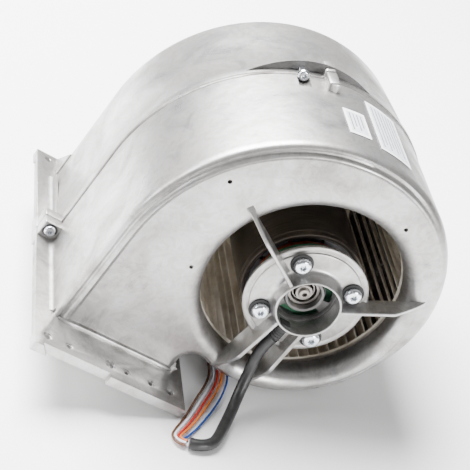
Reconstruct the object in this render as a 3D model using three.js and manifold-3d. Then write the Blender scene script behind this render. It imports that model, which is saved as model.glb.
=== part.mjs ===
// Gas-boiler blower: die-cast scroll housing, outer-rotor motor held in the inlet eye by a
// four-finned spider, forward-curved wheel on the rotor, and a sleeved motor lead.
//
// Everything is first drawn in the fan's own axes, in millimetres:
//   u  towards the outlet,  v  across the outlet (the tongue is on the +v side),  w  along the fan
//   axis, out of the inlet.  w = 0 is the flat inlet face and the fan axis is u = v = 0.
// stand() then turns the fan about its axis until the scroll and the flange edge both touch z = 0.
import * as THREE from 'three';
import { mergeGeometries, mergeVertices } from 'three/addons/utils/BufferGeometryUtils.js';
import Module from 'manifold-3d';

const wasm = await Module();
wasm.setup();

// ---- driving dimensions, mm ----------------------------------------------------------------
const GAP = 0.3; // between pieces that touch
const WALL = 3; // casting wall
const REST_ANGLE = THREE.MathUtils.degToRad(20.5); // outlet direction, measured from straight down

const SCROLL_MIN = 87; // outside radius at the tongue
const SCROLL_GROWTH = 48.6; // added radius where the scroll meets the straight wall
const SCROLL_TURN = 200; // degrees over which the radius grows
const SCROLL_POWER = 1.2;
const WALL_START = -7; // degrees, where the spiral becomes the straight outer wall
const TONGUE_END = 289; // degrees, where the round wall turns into the tongue
const TONGUE_CENTRE = [90.5, -31.5];
const TONGUE_RADIUS = 9;

const FACE_W = 0;
const SEAM_W = -96;
const REAR_W = -185;
const FACE_BEVEL = 4.5;

const FLANGE_U = 98.6;
const FLANGE_THICK = 7;
const FLANGE_V = [-150.3, -34];
const FLANGE_W = [-202, 31];
const FLANGE_STEP_V = -93; // the front rim is this much higher beyond here
const FLANGE_STEP = 4;
const FRONT_HOLES_W = 22.5;
const REAR_HOLES_W = -194;

const EYE_LIP = 78; // bellmouth radius at the face
const EYE_THROAT = 70;
const EYE_DEPTH = 19;

const RING_RADIUS = 22.8;
const RING_WALL = 1.8;
const RING_W = [-3, 12];
const LEAD_V = -3.4; // the lead leaves through the ring's wall here
const LEAD_HOLE_W = [1.9, 10.3];
const LEAD_W = 6.4;
const DISC_RADIUS = 43;
const DISC_STEP = 38;
const DISC_W = [-3, 1.5];
const FIN_THICK = 3;
const FIN_TOP = 11.2; // front edge of the fins, level until it drops to the face
const FIN_DROP = 22; // length over which it drops
const FIN_ROOT = 18; // the part of its back edge that stays with the disc
const SCREW_CIRCLE = 31.5;
const SCREW_START = 47.9; // degrees

const MOTOR_FLANGE_W = [-8, -3.3];
const MOTOR_FLANGE_RADIUS = 38;
const WINDOW_R = [14.2, 19.8]; // windows in it round the bearing
const TUBE_INNER = 11.3;
const TUBE_OUTER = 13.5;
const TUBE_END = -66;
const CORE_RADIUS = 37;
const CORE_W = [-56, -24];
const SLOTS = 9;
const SLOT_CIRCLE = 27;
const INSULATOR_R = [14, 20];
const MAGNET_R = [37.9, 40.1];
const MAGNET_W = [-60, -18];
const BEARING_HALF = 3.5;
const BEARING_OUTER_R = [9.2, 11];
const BEARING_INNER_R = [4.3, 5.9];
const SHAFT_RADIUS = 4;
const ROTOR_RADIUS = 43;
const ROTOR_W = [-80, -14];

const WHEEL_RADIUS = 80;
const BLADE_INNER = 69.8;
const BLADE_W = [-165, -24];
const BLADES = 60;
const BLADE_THICK = 0.9;
const BLADE_LEAN = 7; // degrees from its inner to its outer edge
const HUB_THICK = 1.5;
const RIVET_CIRCLE = 26;
const FRONT_HOOP_W = [-30, -22.8];

const LABEL_LIFT = [0.4, 0.9];

const SLEEVE_DIAMETER = 8;
const WIRE_DIAMETER = 1.6;
const WIRE_FAN = [-7.4, -4.2, -1.1, 1.9, 7]; // sideways places where the wires spread out
const WIRE_ROW = 3; // pitch at the connector
const WIRE_BUNCH = 0.95; // sideways pitch where they leave the sleeve, in two layers
const WIRE_LAYER = 1.65;

// ---- solids and booleans -------------------------------------------------------------------
function closed(geometry) {
  const bare = geometry.clone();
  bare.deleteAttribute('normal');
  bare.deleteAttribute('uv');
  const merged = mergeVertices(bare, 1e-4);
  const at = merged.getIndex().array;
  const kept = [];
  for (let i = 0; i < at.length; i += 3) {
    const [a, b, c] = [at[i], at[i + 1], at[i + 2]];
    if (a !== b && b !== c && c !== a) kept.push(a, b, c);
  }
  merged.setIndex(kept);
  if (volume(merged) < 0) {
    for (let i = 0; i < kept.length; i += 3) [kept[i], kept[i + 1]] = [kept[i + 1], kept[i]];
    merged.setIndex(kept);
  }
  return merged;
}

function volume(geometry) {
  const p = geometry.getAttribute('position');
  const at = geometry.getIndex().array;
  const [a, b, c] = [new THREE.Vector3(), new THREE.Vector3(), new THREE.Vector3()];
  let sum = 0;
  for (let i = 0; i < at.length; i += 3) {
    a.fromBufferAttribute(p, at[i]);
    b.fromBufferAttribute(p, at[i + 1]);
    c.fromBufferAttribute(p, at[i + 2]);
    sum += a.dot(b.cross(c));
  }
  return sum / 6;
}

function solid(geometry) {
  const g = closed(geometry);
  return new wasm.Manifold(new wasm.Mesh({
    numProp: 3,
    vertProperties: new Float32Array(g.getAttribute('position').array),
    triVerts: new Uint32Array(g.getIndex().array),
  }));
}

function surface(manifold) {
  const mesh = manifold.getMesh();
  const g = new THREE.BufferGeometry();
  g.setAttribute('position', new THREE.BufferAttribute(new Float32Array(mesh.vertProperties), 3));
  g.setIndex(new THREE.BufferAttribute(new Uint32Array(mesh.triVerts), 1));
  return g;
}

const join = (first, ...more) => surface(more.reduce((sum, g) => sum.add(solid(g)), solid(first)));
const cut = (first, ...more) => surface(more.reduce((sum, g) => sum.subtract(solid(g)), solid(first)));

// a solid through outlines that all have the same number of points, in order of rising w
function loft(sections) {
  const turn = THREE.ShapeUtils.area(sections[0].points.map(([x, y]) => ({ x, y })));
  const levels = sections.map(({ points, w }) => ({
    points: turn < 0 ? [...points].reverse() : points, w,
  }));
  const count = levels[0].points.length;
  const positions = [];
  for (const { points, w } of levels) for (const [u, v] of points) positions.push(u, v, w);
  const index = [];
  for (let k = 0; k + 1 < levels.length; k++) {
    for (let i = 0; i < count; i++) {
      const [a, b] = [k * count + i, k * count + ((i + 1) % count)];
      index.push(a, b, b + count, a, b + count, a + count);
    }
  }
  const cap = (level) => THREE.ShapeUtils.triangulateShape(
    levels[level].points.map(([u, v]) => new THREE.Vector2(u, v)), [],
  );
  const top = (levels.length - 1) * count;
  for (const [a, b, c] of cap(0)) index.push(c, b, a);
  for (const [a, b, c] of cap(levels.length - 1)) index.push(top + a, top + b, top + c);
  const g = new THREE.BufferGeometry();
  g.setAttribute('position', new THREE.Float32BufferAttribute(positions, 3));
  g.setIndex(index);
  return g;
}

const prism = (points, w0, w1) => loft([{ points, w: w0 }, { points, w: w1 }]);
const block = (u0, u1, v0, v1, w0, w1) => prism([[u0, v0], [u1, v0], [u1, v1], [u0, v1]], w0, w1);

// a ring or disc about the fan axis from a closed profile of [radius, w] points
function turned(profile, segments = 32) {
  const points = [...profile, profile[0]].map(([r, w]) => new THREE.Vector2(r, w));
  return closed(new THREE.LatheGeometry(points, segments)).rotateX(Math.PI / 2);
}

const ring = (r0, r1, w0, w1, segments) => turned([[r0, w0], [r1, w0], [r1, w1], [r0, w1]], segments);

function rod(radius, w0, w1, [u, v] = [0, 0], segments = 12) {
  const g = new THREE.CylinderGeometry(radius, radius, w1 - w0, segments);
  return g.rotateX(Math.PI / 2).translate(u, v, (w0 + w1) / 2);
}

// the point at an angle about the fan axis: 0 is -v, 90 is -u (away from the outlet)
function polar(degrees, radius) {
  const angle = THREE.MathUtils.degToRad(degrees);
  return [-Math.sin(angle) * radius, -Math.cos(angle) * radius];
}

const around = (count, start, radius) => Array.from(
  { length: count }, (_, i) => polar(start + (i * 360) / count, radius),
);

// ---- the scroll ----------------------------------------------------------------------------
function scrollRadius(degrees) {
  const left = Math.max(0, 1 - degrees / SCROLL_TURN);
  return SCROLL_MIN + SCROLL_GROWTH * left ** SCROLL_POWER;
}

// scroll and duct outline, moved inwards by inset, with the open end at u = end
function outline(inset, end = FLANGE_U + 1) {
  const wallStart = polar(WALL_START, scrollRadius(WALL_START) - inset);
  const points = [[end, wallStart[1]]];
  for (let a = WALL_START; a < TONGUE_END; a += 8) points.push(polar(a, scrollRadius(a) - inset));
  const radius = TONGUE_RADIUS + inset;
  for (let a = 180; a <= 270; a += 22.5) {
    const angle = THREE.MathUtils.degToRad(a);
    points.push([
      TONGUE_CENTRE[0] + radius * Math.cos(angle),
      TONGUE_CENTRE[1] + radius * Math.sin(angle),
    ]);
  }
  points.push([end, TONGUE_CENTRE[1] - radius]);
  return points.reverse();
}

// a crescent ear that swells out of the wall between two angles
function ear(from, to, height, root = 2) {
  const outer = [];
  const inner = [];
  const steps = 8;
  for (let i = 0; i <= steps; i++) {
    const a = from + ((to - from) * i) / steps;
    const swell = height * Math.sin((Math.PI * i) / steps) ** 0.7;
    outer.push(polar(a, scrollRadius(a) + swell - 0.5));
    inner.push(polar(a, scrollRadius(a) - root));
  }
  return [...outer, ...inner.reverse()];
}

function radialBlock(degrees, halfWidth, r0, r1) {
  const [du, dv] = polar(degrees, 1);
  return [[r0, -1], [r1, -1], [r1, 1], [r0, 1]].map(([r, side]) => [
    du * r - dv * side * halfWidth,
    dv * r + du * side * halfWidth,
  ]);
}

const BRIDGE_W = 17; // how far the bridge block runs on the front half

// seam screws: position, and the w levels of the front and rear seats
const FLANGE_EAR = { u: [86, FLANGE_U + 0.5], v: [-150, -135] };
const SEAM_SCREWS = [
  { at: [92, -143.4], front: -87, rear: -105 },
  { at: polar(58.6, 120.8), front: -92.5, rear: -103 },
  { at: polar(185, 95.2), front: -89, rear: -104 },
  { at: [89.5, -28.5], front: -89, rear: -104 },
];

function ears(w0, w1, key) {
  const far = (seat) => (key === 'front' ? [w0, seat.front] : [seat.rear, w1]);
  const [flangeEar, longEar, sideEar, tongueEar] = SEAM_SCREWS;
  return [
    block(...FLANGE_EAR.u, ...FLANGE_EAR.v, ...far(flangeEar)),
    prism(ear(36, 92, 11), ...far(longEar)),
    prism(radialBlock(185, 7, 84.5, 101.5), ...far(sideEar)),
    prism(radialBlock(288, 6, 84.5, 99), ...far(tongueEar)),
  ];
}

// a scoop in the front wall gives a driver room beside the long ear's screw
const SCOOP = { boss: polar(58.6, 110), top: -76 };

// the solid block that bridges the seam beside the long ear
const bridge = (w0, w1) => prism(radialBlock(68, 6, 108, scrollRadius(68) + 9), w0, w1);

const screwHoles = (w0, w1) => SEAM_SCREWS.map(({ at }) => rod(2.4, w0, w1, at, 10));

function flangePlate(w0, w1) {
  return block(FLANGE_U, FLANGE_U + FLANGE_THICK, ...FLANGE_V, w0, w1);
}

function flangeHole(v, w, radius) {
  const g = new THREE.CylinderGeometry(radius, radius, 3 * FLANGE_THICK, 8);
  return g.rotateZ(Math.PI / 2).translate(FLANGE_U + FLANGE_THICK / 2, v, w);
}

const FLANGE_HOLES = [[-141, 2], [-124.6, 1.7], [-93, 2.8], [-80, 1.7], [-61, 1.7], [-45, 1.7]];

// ---- inlet eye and spider ------------------------------------------------------------------
function bellmouth() {
  const profile = [[EYE_LIP + 2, FACE_W], [EYE_LIP, FACE_W]];
  const curve = EYE_LIP - EYE_THROAT;
  for (let a = 30; a <= 90; a += 30) {
    const angle = THREE.MathUtils.degToRad(a);
    profile.push([EYE_LIP - curve * Math.sin(angle), FACE_W - curve + curve * Math.cos(angle)]);
  }
  profile.push([EYE_THROAT, -EYE_DEPTH], [EYE_THROAT + 2, -EYE_DEPTH], [EYE_THROAT + 2, -9.5]);
  profile.push([EYE_THROAT + 4, -5.5], [EYE_LIP, -WALL], [EYE_LIP + 2, -WALL]);
  return turned(profile, 40);
}

// an upright fin from the ring out over the lip: distance along it, and w
function fin([u0, v0], [u1, v1], back) {
  const length = Math.hypot(u1 - u0, v1 - v0);
  const side = new THREE.Shape([
    [0, -2.9], [FIN_ROOT, -2.9], [FIN_ROOT + 4, back], [length - 14, back], [length - 12, -2.5],
    [length, -0.6], [length, 0.5], [length - FIN_DROP, FIN_TOP], [0, FIN_TOP],
  ].map(([s, w]) => new THREE.Vector2(s, w)));
  const g = new THREE.ExtrudeGeometry(side, { depth: FIN_THICK, bevelEnabled: false });
  g.translate(0, 0, -FIN_THICK / 2).rotateX(Math.PI / 2);
  return g.rotateZ(Math.atan2(v1 - v0, u1 - u0)).translate(u0, v0, 0);
}

// root, tip, and the w of the back edge: the two beside the lead are deeper
const FINS = [
  [[-9, -20.2], [-40.1, -75.4], -3],
  [[-7.8, 20.6], [-37.5, 74.9], -3],
  [[20, -10.7], [80.7, -19.1], -8],
  [[20.4, 9.7], [80, 9.7], -8],
];

function spider() {
  const disc = turned([
    [RING_RADIUS - 1, DISC_W[0]], [DISC_RADIUS, DISC_W[0]], [DISC_RADIUS, DISC_W[1] - 1.5],
    [DISC_STEP, DISC_W[1] - 1.5], [DISC_STEP, DISC_W[1]], [RING_RADIUS - 1, DISC_W[1]],
  ], 32);
  const collar = ring(RING_RADIUS - RING_WALL, RING_RADIUS, ...RING_W, 32);
  const holes = around(4, SCREW_START, SCREW_CIRCLE).map((at) => rod(5.3, -9, 5, at, 12));
  const leadHole = block(RING_RADIUS - 5, RING_RADIUS + 2, LEAD_V - 4.8, LEAD_V + 4.8, ...LEAD_HOLE_W);
  return cut(join(disc, collar, ...FINS.map((place) => fin(...place))), ...holes, leadHole);
}

const FACE_HOLES = [polar(26.7, 109), polar(106.6, 82), polar(227.3, 81), polar(347.1, 82.5)];

function housingFront() {
  const shell = loft([
    { points: outline(0), w: SEAM_W },
    { points: outline(0), w: FACE_W - FACE_BEVEL },
    { points: outline(1.3), w: FACE_W - 1.3 },
    { points: outline(FACE_BEVEL), w: FACE_W },
  ]);
  const rim = block(
    FLANGE_U, FLANGE_U + FLANGE_THICK, FLANGE_STEP_V, FLANGE_V[1],
    FLANGE_W[1] - 1, FLANGE_W[1] + FLANGE_STEP,
  );
  const body = join(
    shell, flangePlate(SEAM_W, FLANGE_W[1]), rim,
    ...ears(SEAM_W, SEAM_W, 'front'), bridge(SEAM_W, SEAM_W + BRIDGE_W),
  );
  const cavity = prism(outline(WALL, FLANGE_U + 9), SEAM_W - 1, FACE_W - WALL);
  const open = cut(
    body, cavity, rod(EYE_LIP + 1, -10, 2, [0, 0], 40),
    ...FACE_HOLES.map((at) => rod(1.6, -6, 2, at, 8)), ...screwHoles(-99, -80),
    ...FLANGE_HOLES.map(([v, radius]) => flangeHole(v, FRONT_HOLES_W, radius)),
  );
  const backed = join(open, rod(8.5, SEAM_W, SCOOP.top, SCOOP.boss, 16));
  const longEar = SEAM_SCREWS[1];
  const scooped = cut(backed, rod(6, longEar.front, SCOOP.top - 4, longEar.at, 16));
  return join(scooped, bellmouth(), spider());
}

function housingRear() {
  const top = SEAM_W - GAP;
  const shell = loft([
    { points: outline(8), w: REAR_W },
    { points: outline(3.8), w: REAR_W + 4 },
    { points: outline(0), w: SEAM_W - 10 },
    { points: outline(0), w: top },
  ]);
  const body = join(
    shell, flangePlate(FLANGE_W[0], top),
    ...ears(top, top, 'rear'), bridge(SEAM_W - BRIDGE_W + 1, top),
  );
  const cavity = loft([
    { points: outline(7.5, FLANGE_U + 9), w: REAR_W + WALL },
    { points: outline(3.6, FLANGE_U + 9), w: SEAM_W - 10 },
    { points: outline(WALL, FLANGE_U + 9), w: SEAM_W + 1 },
  ]);
  return cut(
    body, cavity, ...screwHoles(-115, -90),
    ...[-141, -93, -42].map((v) => flangeHole(v, REAR_HOLES_W, 2.4)),
  );
}

function seamScrew({ at, front, rear }) {
  const head = rod(4.4, front + GAP, front + 4, at, 10);
  const shank = rod(2, rear - 1.5, front + 1, at, 10);
  return cut(join(head, shank), rod(1.8, front + 2, front + 6, at, 6));
}

// ---- motor, fixed side ---------------------------------------------------------------------
// windows in the motor flange round the bearing: middle and span, degrees
const WINDOWS = [[250, 96], [350, 44], [150, 44]];

function arcBand(middle, span, r0, r1) {
  const steps = Math.ceil(span / 16);
  const angles = Array.from({ length: steps + 1 }, (_, i) => middle - span / 2 + (i * span) / steps);
  return [...angles.map((a) => polar(a, r1)), ...angles.reverse().map((a) => polar(a, r0))];
}

function motorFlange() {
  const body = turned([
    [TUBE_INNER, TUBE_END], [TUBE_OUTER, TUBE_END], [TUBE_OUTER, MOTOR_FLANGE_W[0]],
    [MOTOR_FLANGE_RADIUS, MOTOR_FLANGE_W[0]], [MOTOR_FLANGE_RADIUS, MOTOR_FLANGE_W[1]],
    [TUBE_INNER, MOTOR_FLANGE_W[1]],
  ], 24);
  const holes = around(4, SCREW_START, SCREW_CIRCLE).map((at) => rod(2.9, -12, 0, at, 8));
  const windows = WINDOWS.map(([middle, span]) => prism(arcBand(middle, span, ...WINDOW_R), -12, 0));
  return cut(body, ...holes, ...windows);
}

function motorScrew(at) {
  const pan = new THREE.LatheGeometry([
    [0, -7.5], [2.6, -7.5], [2.6, 3.3], [6, 3.3], [6, 5], [5.2, 6.6], [3.8, 7.4], [0, 7.4],
  ].map(([r, w]) => new THREE.Vector2(r, w)), 20).rotateX(Math.PI / 2).translate(at[0], at[1], 0);
  const star = Array.from({ length: 12 }, (_, i) => {
    const angle = (i * Math.PI) / 6;
    const radius = i % 2 ? 1.9 : 2.7;
    return [at[0] + radius * Math.cos(angle), at[1] + radius * Math.sin(angle)];
  });
  return cut(pan, prism(star, 4.8, 9));
}

function grommet([u, v]) {
  const g = turned([[2.9, -2.9], [5, -2.9], [5, 1.8], [8, 1.8], [8, 3], [2.9, 3]], 16);
  return g.translate(u, v, 0);
}

function statorCore() {
  const disc = ring(TUBE_OUTER + GAP, CORE_RADIUS, ...CORE_W, 36);
  const slots = [];
  for (let i = 0; i < SLOTS; i++) {
    const degrees = (i * 360) / SLOTS;
    slots.push(rod(4.4, CORE_W[0] - 1, CORE_W[1] + 1, polar(degrees, SLOT_CIRCLE), 8));
    slots.push(prism(radialBlock(degrees, 1.2, 29, 39), CORE_W[0] - 1, CORE_W[1] + 1));
  }
  return cut(disc, ...slots);
}

function statorWinding() {
  const bars = around(SLOTS, 0, SLOT_CIRCLE).map((at) => rod(3.9, CORE_W[0] - 4, CORE_W[1] + 4, at, 6));
  const ends = [[CORE_W[0] - 8, CORE_W[0] - 2.1], [CORE_W[1] + 2.1, CORE_W[1] + 8]];
  return join(...ends.map(([w0, w1]) => ring(21, 33, w0, w1, 18)), ...bars);
}

function bearingBalls(w) {
  const balls = around(7, 10, 7.6).map(([u, v]) => (
    new THREE.SphereGeometry(1.4, 5, 3).translate(u, v, w)
  ));
  return join(ring(7.2, 8, w - 2, w + 2, 14), ...balls);
}

// ---- motor, turning side, and wheel --------------------------------------------------------
const RIVETS = around(4, 0, RIVET_CIRCLE);

function rotorCup() {
  const [back, front] = ROTOR_W;
  const body = turned([
    [SHAFT_RADIUS + GAP, back], [ROTOR_RADIUS - 2, back], [ROTOR_RADIUS, back + 2],
    [ROTOR_RADIUS, front], [ROTOR_RADIUS - 2.4, front], [ROTOR_RADIUS - 2.4, back + 3],
    [9, back + 3], [9, back + 9], [SHAFT_RADIUS + GAP, back + 9],
  ], 28);
  return cut(body, ...RIVETS.map((at) => rod(2, back - 1, back + 5, at, 8)));
}

function wheelHub() {
  const rim = BLADE_W[0] - 1.5 - HUB_THICK;
  const face = ROTOR_W[0] - GAP;
  const body = turned([
    [9, face - HUB_THICK], [40, face - HUB_THICK], [65, rim], [WHEEL_RADIUS, rim],
    [WHEEL_RADIUS, rim + HUB_THICK - GAP], [66, rim + HUB_THICK - GAP], [41.2, face], [9, face],
  ], 28);
  return cut(body, ...RIVETS.map((at) => rod(2, face - 3, face + 1, at, 8)));
}

function rivet([u, v]) {
  const head = ROTOR_W[0] - 2 * GAP - HUB_THICK;
  return join(rod(3.4, head - 1.6, head, [u, v], 8), rod(1.7, head - 1, ROTOR_W[0] + 3, [u, v], 8));
}

// one blade seen along the axis: it leans into the turn towards the rim
function bladeOutline(degrees) {
  const half = (radius) => THREE.MathUtils.radToDeg(BLADE_THICK / 2 / radius);
  const [inner, outer] = [half(BLADE_INNER), half(WHEEL_RADIUS)];
  return [
    polar(degrees - inner, BLADE_INNER), polar(degrees + BLADE_LEAN - outer, WHEEL_RADIUS),
    polar(degrees + BLADE_LEAN + outer, WHEEL_RADIUS), polar(degrees + inner, BLADE_INNER),
  ];
}

function wheelBlades() {
  const [back, front] = BLADE_W;
  const blades = Array.from({ length: BLADES }, (_, i) => (
    prism(bladeOutline((i * 360) / BLADES), back, front)
  ));
  const rims = [[back - 1.2, back + 0.3], [front - 0.3, front + 1.2]];
  return join(...rims.map(([w0, w1]) => ring(BLADE_INNER + 0.5, WHEEL_RADIUS - 0.2, w0, w1, 32)), ...blades);
}

function balanceClip(degrees) {
  const front = BLADE_W[1] + 1.5;
  const along = radialBlock(degrees, 2.5, WHEEL_RADIUS - 7, WHEEL_RADIUS - 2);
  return prism(along, front, front + 1);
}

// ---- lead ----------------------------------------------------------------------------------
// routes stand in the turned frame: x across, y into the depth, z up, fan axis at x = 0
const AXIS_Z = SCROLL_MIN;
const SLEEVE_ROUTE = [
  [-15, -6.4, 56.4], [-17.4, -6.4, 52.4], [-20.4, -7, 46.4], [-22.6, -8.1, 39.4],
  [-24.6, -10.4, 29.4], [-26.9, -14.2, 20.4], [-29.7, -19.8, 12.9], [-33, -27.6, 7.6],
  [-37, -36.8, 5.1], [-41, -46, 4.4], [-45.5, -55.5, 4.3], [-48.8, -60.2, 4.3],
  [-54.1, -63.7, 4.3], [-59.8, -64.9, 4.3], [-65.4, -64, 4.3],
];
const WIRE_ROUTE = [
  [-67.3, -63.3, 3.4], [-69.6, -61.8, 3], [-71.4, -59, 2.4], [-71.6, -55.8, 1.8],
  [-69.3, -51.6, 1.3], [-63.6, -43.4, 1], [-56.6, -31.6, 1], [-48.6, -16.4, 1], [-41.8, -2, 1],
  [-37.4, 12, 1], [-36.8, 30, 1], [-38.2, 60, 1], [-39.4, 100, 1], [-40.6, 140, 1], [-41, 172, 1],
  [-41, 196, 1.6], [-41, 209.5, 4.4],
];
const FANNED = 7; // the route's point where the wires are fully spread
const IN_ROW = 12; // and where they are an even row again

function tube(route, diameter, sides, steps) {
  const line = new THREE.CatmullRomCurve3(route.map((p) => new THREE.Vector3(...p)));
  const section = new THREE.Shape(Array.from({ length: sides }, (_, i) => {
    const angle = (2 * Math.PI * (i + 0.5)) / sides;
    return new THREE.Vector2((diameter / 2) * Math.cos(angle), (diameter / 2) * Math.sin(angle));
  }));
  return new THREE.ExtrudeGeometry(section, { extrudePath: line, steps, bevelEnabled: false });
}

// a wire's sideways place along the route: bunched, then spread out, then in an even row
function wireSide(number, i) {
  const [bunched, row] = [(number - 3) * WIRE_BUNCH, (number - 3) * WIRE_ROW];
  const fanned = WIRE_FAN[number - 1];
  const { lerp, clamp } = THREE.MathUtils;
  if (i < FANNED) return lerp(bunched, fanned, i / FANNED);
  return lerp(fanned, row, clamp((i - FANNED) / (IN_ROW - FANNED), 0, 1));
}

function wireRoute(number) {
  return WIRE_ROUTE.map(([x, y, z], i) => {
    const side = wireSide(number, i);
    const lift = number % 2 ? 0 : WIRE_LAYER * Math.max(0, 1 - i / FANNED);
    const before = WIRE_ROUTE[Math.max(0, i - 1)];
    const after = WIRE_ROUTE[Math.min(WIRE_ROUTE.length - 1, i + 1)];
    const length = Math.hypot(after[0] - before[0], after[1] - before[1]);
    return [
      x + (side * (after[1] - before[1])) / length,
      y - (side * (after[0] - before[0])) / length, z + lift,
    ];
  });
}

function connector() {
  const g = new THREE.BoxGeometry(16, 22, 9);
  return g.translate(-41, 221.2, 4.5);
}

function cableGland() {
  const boot = new THREE.CylinderGeometry(4.2, 4.4, 10, 12).rotateZ(-Math.PI / 2);
  const [bottom, top] = LEAD_HOLE_W;
  return join(
    block(RING_RADIUS - 3.5, RING_RADIUS + 1.2, LEAD_V - 4.4, LEAD_V + 4.4, bottom + GAP, top - GAP),
    boot.translate(RING_RADIUS + 5.4, LEAD_V, LEAD_W),
  );
}

// ---- labels --------------------------------------------------------------------------------
function wallLabel(from, to, w0, w1) {
  const outer = [];
  const inner = [];
  for (let i = 0; i <= 4; i++) {
    const a = from + ((to - from) * i) / 4;
    outer.push(polar(a, scrollRadius(a) + LABEL_LIFT[1]));
    inner.push(polar(a, scrollRadius(a) + LABEL_LIFT[0]));
  }
  return prism([...outer, ...inner.reverse()], w0, w1);
}

// ---- assembly ------------------------------------------------------------------------------
const COLOURS = {
  cast: ['#c4c4c2', 0.5, 0.85],
  zinc: ['#c9ccd0', 0.35, 1],
  steel: ['#8c8a86', 0.4, 1],
  rotor: ['#4b443e', 0.45, 0.9],
  wheel: ['#b9b2a3', 0.45, 0.9],
  core: ['#6a6c70', 0.5, 0.8],
  copper: ['#8e4a26', 0.5, 0.7],
  magnet: ['#33302e', 0.7, 0.2],
  board: ['#2f6b46', 0.6, 0],
  plastic: ['#e6e2d8', 0.5, 0],
  black: ['#1c1c1e', 0.65, 0],
  rubber: ['#3b3a38', 0.85, 0],
  label: ['#e9ebee', 0.5, 0],
};
const WIRE_COLOURS = ['#6b3f2a', '#d9dfe8', '#b7352c', '#d9772e', '#2f4d9b'];

const blower = new THREE.Group();

function stand(geometry) {
  const [s, c] = [Math.sin(REST_ANGLE), Math.cos(REST_ANGLE)];
  return closed(geometry).applyMatrix4(new THREE.Matrix4().set(
    -s, c, 0, 0,
    0, 0, -1, 0,
    -c, -s, 0, AXIS_Z,
    0, 0, 0, 1,
  ));
}

function addStanding(name, geometry, [color, roughness, metalness]) {
  const flat = geometry.toNonIndexed();
  flat.computeVertexNormals();
  const mesh = new THREE.Mesh(flat, new THREE.MeshStandardMaterial({ color, roughness, metalness }));
  mesh.name = name;
  blower.add(mesh);
}

const add = (name, geometry, look) => addStanding(name, stand(geometry), look);

add('housing_front', housingFront(), COLOURS.cast);
add('housing_rear', housingRear(), COLOURS.cast);
SEAM_SCREWS.forEach((place, i) => add(`housing_screw_${i + 1}`, seamScrew(place), COLOURS.zinc));

add('motor_flange', motorFlange(), COLOURS.cast);
around(4, SCREW_START, SCREW_CIRCLE).forEach((at, i) => {
  add(`motor_screw_${i + 1}`, motorScrew(at), COLOURS.zinc);
  add(`motor_grommet_${i + 1}`, grommet(at), COLOURS.rubber);
});
add('stator_core', statorCore(), COLOURS.core);
add('stator_winding', statorWinding(), COLOURS.copper);
add('insulator_front', ring(...INSULATOR_R, CORE_W[1] + GAP, CORE_W[1] + 1.8, 24), COLOURS.plastic);
add('insulator_rear', ring(...INSULATOR_R, CORE_W[0] - 1.8, CORE_W[0] - GAP, 24), COLOURS.plastic);
add('control_board', ring(14.5, 36, -14.5, -13, 24), COLOURS.board);
add('driver_chip', block(20, 30, -6, 6, -12.7, -9.4), COLOURS.black);
add('board_capacitor', block(-31, -21, -5, 5, -12.7, -8.6), COLOURS.black);

[['front', -12.5], ['rear', -60.5]].forEach(([end, w]) => {
  add(`bearing_${end}_outer`, ring(...BEARING_OUTER_R, w - BEARING_HALF, w + BEARING_HALF, 20), COLOURS.steel);
  add(`bearing_${end}_balls`, bearingBalls(w), COLOURS.steel);
  add(`bearing_${end}_inner`, ring(...BEARING_INNER_R, w - BEARING_HALF, w + BEARING_HALF, 20), COLOURS.steel);
});
add('spring_washer', ring(8.4, 10.9, -56.5, -55.7, 16), COLOURS.steel);

add('shaft', rod(SHAFT_RADIUS, -84, -5, [0, 0], 24), COLOURS.steel);
add('shaft_clip', ring(4.2, 5.8, -8.4, -7.4, 16), COLOURS.steel);
add('rotor_cup', rotorCup(), COLOURS.rotor);
add('magnet_ring', ring(...MAGNET_R, ...MAGNET_W, 28), COLOURS.magnet);
add('wheel_hub', wheelHub(), COLOURS.wheel);
add('wheel_blades', wheelBlades(), COLOURS.wheel);
add('wheel_ring', ring(WHEEL_RADIUS + 0.4, WHEEL_RADIUS + 1.7, ...FRONT_HOOP_W, 36), COLOURS.wheel);
RIVETS.forEach((at, i) => add(`wheel_rivet_${i + 1}`, rivet(at), COLOURS.zinc));
add('balance_clip_1', balanceClip(40), COLOURS.zinc);
add('balance_clip_2', balanceClip(215), COLOURS.zinc);

add('cable_gland', cableGland(), COLOURS.rubber);
add('label_large', wallLabel(80.5, 94.5, -84, -22), COLOURS.label);
add('label_small', wallLabel(69.3, 77.4, -59, -27.5), COLOURS.label);

// the origin is under the middle of the blower, without its lead
const extent = new THREE.Box3().setFromObject(blower);
const middle = extent.getCenter(new THREE.Vector3());
blower.position.set(-middle.x, -middle.y, -extent.min.z);

addStanding('cable_sleeve', closed(tube(SLEEVE_ROUTE, SLEEVE_DIAMETER, 10, 14)), COLOURS.black);
WIRE_COLOURS.forEach((color, i) => {
  const wire = closed(tube(wireRoute(i + 1), WIRE_DIAMETER, 8, 33));
  addStanding(`wire_${i + 1}`, wire, [color, 0.5, 0]);
});
addStanding('connector', closed(connector()), COLOURS.plastic);

export default blower;
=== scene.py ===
import math

import bmesh
import bpy
from mathutils import Matrix, Vector


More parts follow.
